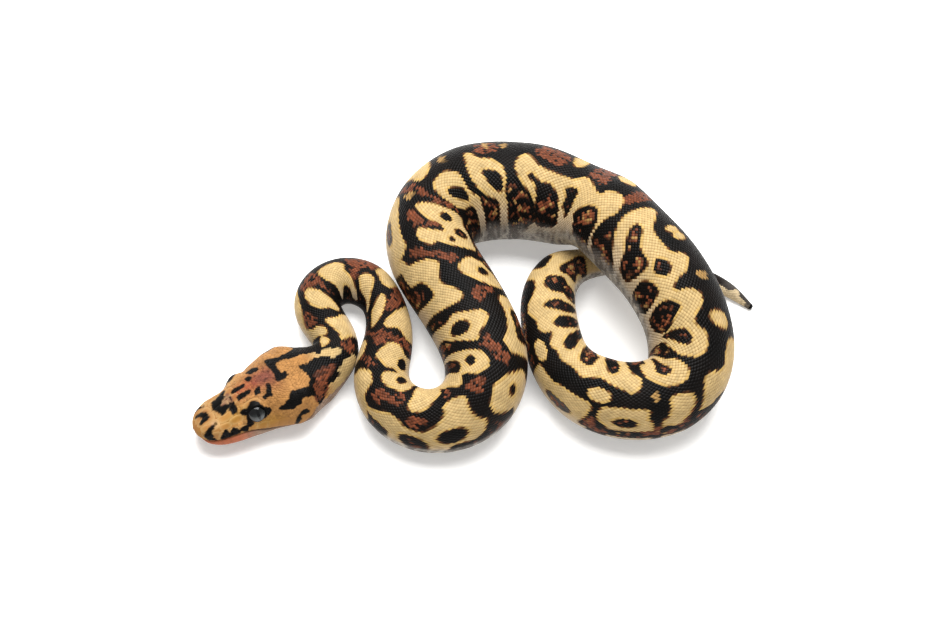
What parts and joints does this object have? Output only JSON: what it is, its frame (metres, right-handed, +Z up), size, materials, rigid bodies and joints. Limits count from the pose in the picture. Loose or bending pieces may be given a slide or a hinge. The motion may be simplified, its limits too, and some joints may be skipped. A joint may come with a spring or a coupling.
{
  "type": "coiled ball python",
  "caption": "Still, life-size model of a hatchling ball python resting in loose coils on the floor, with its head stretched out flat beside them.",
  "frame": {"origin": "on the floor, under the middle of the coiled animal's box", "axes": "+Z up; +X along the coil's long side, away from the head; +Y towards the back of the coil; the head points to -X and a little to -Y"},
  "size_m": [0.1278, 0.0783, 0.0269],
  "materials": {
    "head_skin": "fine granular scales, satin",
    "body_skin": "small smooth scales in cream, rust and black, satin",
    "eye": "wet gloss"
  },
  "bodies": {
    "root": {"head": "head_skin", "lower_jaw": "head_skin", "eye_left": "eye", "eye_right": "eye", "neck_01": "body_skin", "neck_02": "body_skin", "neck_03": "body_skin", "neck_04": "body_skin", "trunk_01": "body_skin", "trunk_02": "body_skin", "trunk_03": "body_skin", "trunk_04": "body_skin", "trunk_05": "body_skin", "trunk_06": "body_skin", "trunk_07": "body_skin", "trunk_08": "body_skin", "trunk_09": "body_skin", "trunk_10": "body_skin", "trunk_11": "body_skin", "trunk_12": "body_skin", "trunk_13": "body_skin", "trunk_14": "body_skin", "trunk_15": "body_skin", "tail": "body_skin"}
  },
  "joints": []
}
